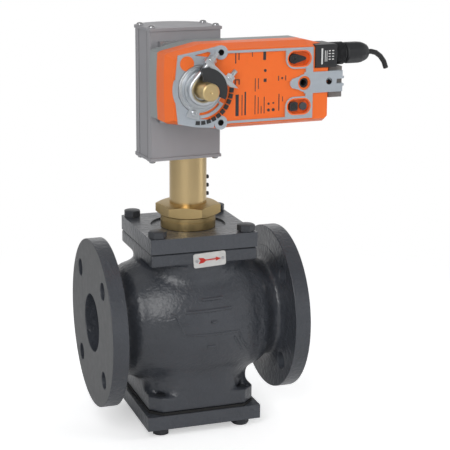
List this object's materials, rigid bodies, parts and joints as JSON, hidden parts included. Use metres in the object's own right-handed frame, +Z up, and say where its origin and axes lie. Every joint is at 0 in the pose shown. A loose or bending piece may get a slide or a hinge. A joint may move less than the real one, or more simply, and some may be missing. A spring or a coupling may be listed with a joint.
{
  "type": "flanged globe valve",
  "caption": "Flanged globe valve with a brass neck, a rack-and-pinion linkage case and a rotary spring-return actuator.",
  "frame": {"origin": "centre of the inlet flange's face, on the pipe axis", "axes": "+X along the pipe from inlet to outlet, +Z up along the stem, and the actuator faces -Y"},
  "size_m": [0.3213, 0.2084, 0.4401],
  "materials": {
    "painted_iron": "black enamel with an orange-peel surface over sand casting",
    "black_steel": "black oxide",
    "brass": "turned brass with fine tool marks",
    "bronze": "machined bronze",
    "gasket": "matt black sheet",
    "steel": "machined steel",
    "zinc_plate": "bright zinc plate",
    "silver_plate": "satin plate with a printed red arrow",
    "grey_case": "satin grey over extruded metal",
    "orange_plastic": "fine moulded grain",
    "trim_grey_plastic": "smooth satin moulding",
    "housing_grey_plastic": "fine moulded grain",
    "black_plastic": "fine moulded grain",
    "board_green": "lacquered board",
    "cable_jacket": "semi-gloss jacket"
  },
  "bodies": {
    "valve": {"valve_body": "painted_iron", "bonnet_plate": "painted_iron", "bottom_cover": "painted_iron", "bonnet_bolts": "black_steel", "bottom_bolts": "black_steel", "neck_set_screws": "black_steel", "mounting_screws": "black_steel", "packing_nut": "brass", "neck_tube": "brass", "neck_lock_nut": "brass", "seat_ring": "bronze", "stem_guide": "bronze", "shaft_bushes": "bronze", "rack_guide": "bronze", "bonnet_gasket": "gasket", "bottom_gasket": "gasket", "packing_rings": "gasket", "return_spring": "steel", "plate_rivets": "steel", "case_screws": "steel", "mounting_plate": "steel", "gear_plate": "steel", "spring_barrel": "zinc_plate", "motor": "zinc_plate", "flow_arrow_plate": "silver_plate", "linkage_case": "grey_case", "case_top_cap": "grey_case", "case_bottom_cap": "grey_case", "front_cover": "orange_plastic", "cap_disc": "orange_plastic", "face_bezel": "trim_grey_plastic", "rear_housing": "housing_grey_plastic", "side_lug": "housing_grey_plastic", "scale_band": "black_plastic", "connector_plug": "black_plastic", "cable_gland": "black_plastic", "gland_nut": "black_plastic", "circuit_board": "board_green", "cable_stub": "cable_jacket"},
    "drive": {"drive_shaft": "brass", "rack_pinion": "steel", "drive_hub": "zinc_plate", "output_gear": "steel", "clamp_u_bolt": "zinc_plate", "clamp_bridge": "zinc_plate", "clamp_pad": "black_plastic", "clamp_nuts": "zinc_plate"},
    "stem": {"drive_rack": "steel", "stem_coupling": "steel", "valve_stem": "steel", "valve_plug": "bronze"},
    "first_gear": {"first_gear": "steel"},
    "second_gear": {"second_gear": "steel"},
    "third_gear": {"third_gear": "steel"},
    "crank_gear": {"crank_gear": "black_plastic"},
    "motor_pinion": {"motor_pinion": "brass"},
    "lock_lever": {"lock_lever": "black_plastic"},
    "setting_knob": {"setting_knob": "black_plastic"},
    "push_button": {"push_button": "housing_grey_plastic"},
    "end_stop": {"end_stop": "zinc_plate"}
  },
  "joints": [
    {"name": "drive_turn", "type": "hinge", "parent": "valve", "child": "drive", "pos_m": [0.08807, -0.0018, 0.264], "axis": [-0.0819, 0.9966, 0], "range_deg": [0, 90], "stiffness_Nm_per_rad": 1.2, "springref_deg": -28.65},
    {"name": "stem_slide", "type": "slide", "parent": "valve", "child": "stem", "axis": [0, 0, 1], "range_m": [-0.01886, 0]},
    {"name": "first_gear_turn", "type": "hinge", "parent": "valve", "child": "first_gear", "pos_m": [0.11997, 0.00082, 0.264], "axis": [-0.0819, 0.9966, 0], "range_deg": [-390.5, 0]},
    {"name": "second_gear_turn", "type": "hinge", "parent": "valve", "child": "second_gear", "pos_m": [0.14189, 0.00262, 0.264], "axis": [-0.0819, 0.9966, 0], "range_deg": [0, 1040.5]},
    {"name": "third_gear_turn", "type": "hinge", "parent": "valve", "child": "third_gear", "pos_m": [0.17378, 0.00524, 0.264], "axis": [-0.0819, 0.9966, 0], "range_deg": [-2289, 0]},
    {"name": "crank_turn", "type": "hinge", "parent": "valve", "child": "crank_gear", "pos_m": [0.20468, 0.00778, 0.264], "axis": [-0.0819, 0.9966, 0], "range_deg": [0, 4806]},
    {"name": "motor_turn", "type": "hinge", "parent": "valve", "child": "motor_pinion", "pos_m": [0.20468, 0.00778, 0.248], "axis": [-0.0819, 0.9966, 0], "range_deg": [-8010, 0]},
    {"name": "lever_turn", "type": "hinge", "parent": "valve", "child": "lock_lever", "pos_m": [0.19312, 0.00683, 0.2895], "axis": [-0.0819, 0.9966, 0], "range_deg": [-15, 15]},
    {"name": "knob_turn", "type": "hinge", "parent": "valve", "child": "setting_knob", "pos_m": [0.19332, 0.00685, 0.2398], "axis": [-0.0819, 0.9966, 0], "range_deg": [0, 90]},
    {"name": "button_press", "type": "slide", "parent": "valve", "child": "push_button", "axis": [-0.0819, 0.9966, 0], "range_m": [0, 0.0015], "stiffness_N_per_m": 200, "springref_m": -0.001},
    {"name": "stop_shift", "type": "hinge", "parent": "valve", "child": "end_stop", "pos_m": [0.08807, -0.0018, 0.264], "axis": [-0.0819, 0.9966, 0], "range_deg": [-55, 0]}
  ],
  "couplings": [
    {"joint": "stem_slide", "follows": "drive_turn", "m_per_rad": -0.012},
    {"joint": "first_gear_turn", "follows": "drive_turn", "ratio": -4.3333},
    {"joint": "second_gear_turn", "follows": "drive_turn", "ratio": 11.556},
    {"joint": "third_gear_turn", "follows": "drive_turn", "ratio": -25.422},
    {"joint": "crank_turn", "follows": "drive_turn", "ratio": 53.387},
    {"joint": "motor_turn", "follows": "drive_turn", "ratio": -88.978}
  ]
}
